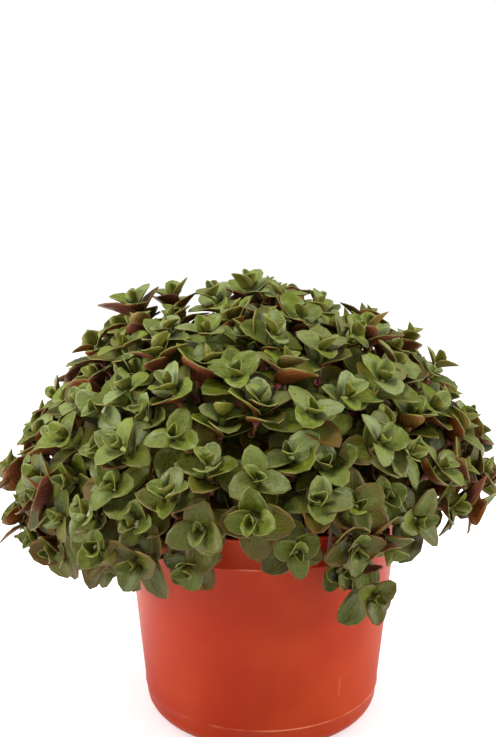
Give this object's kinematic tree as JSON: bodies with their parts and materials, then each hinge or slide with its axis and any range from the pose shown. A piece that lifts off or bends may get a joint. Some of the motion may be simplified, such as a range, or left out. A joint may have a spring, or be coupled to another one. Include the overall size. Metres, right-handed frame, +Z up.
{
  "type": "potted turtle vine",
  "caption": "Dense mound of small-leaved trailing vine growing in a round tapered plastic nursery pot with drain holes.",
  "frame": {"origin": "centre of the pot's flat base, on the surface that it stands on", "axes": "+Z up along the pot's axis; -Y is the front, the side that the picture shows"},
  "size_m": [0.2589, 0.2511, 0.2299],
  "materials": {
    "pot_plastic": "satin",
    "potting_soil": "matte",
    "foliage": "satin"
  },
  "bodies": {
    "root": {"pot": "pot_plastic", "soil": "potting_soil", "leafy_stem_01": "foliage", "leafy_stem_02": "foliage", "leafy_stem_03": "foliage", "leafy_stem_04": "foliage", "leafy_stem_05": "foliage", "leafy_stem_06": "foliage", "leafy_stem_07": "foliage", "leafy_stem_08": "foliage", "leafy_stem_09": "foliage", "leafy_stem_10": "foliage", "leafy_stem_11": "foliage", "leafy_stem_12": "foliage", "leafy_stem_13": "foliage", "leafy_stem_14": "foliage", "leafy_stem_15": "foliage", "leafy_stem_16": "foliage", "leafy_stem_17": "foliage", "leafy_stem_18": "foliage", "leafy_stem_19": "foliage", "leafy_stem_20": "foliage", "leafy_stem_21": "foliage", "leafy_stem_22": "foliage", "leafy_stem_23": "foliage", "leafy_stem_24": "foliage", "leafy_stem_25": "foliage", "leafy_stem_26": "foliage", "leafy_stem_27": "foliage", "leafy_stem_28": "foliage", "leafy_stem_29": "foliage", "leafy_stem_30": "foliage", "leafy_stem_31": "foliage", "leafy_stem_32": "foliage", "leafy_stem_33": "foliage", "leafy_stem_34": "foliage", "leafy_stem_35": "foliage", "leafy_stem_36": "foliage", "leafy_stem_37": "foliage"}
  },
  "joints": []
}
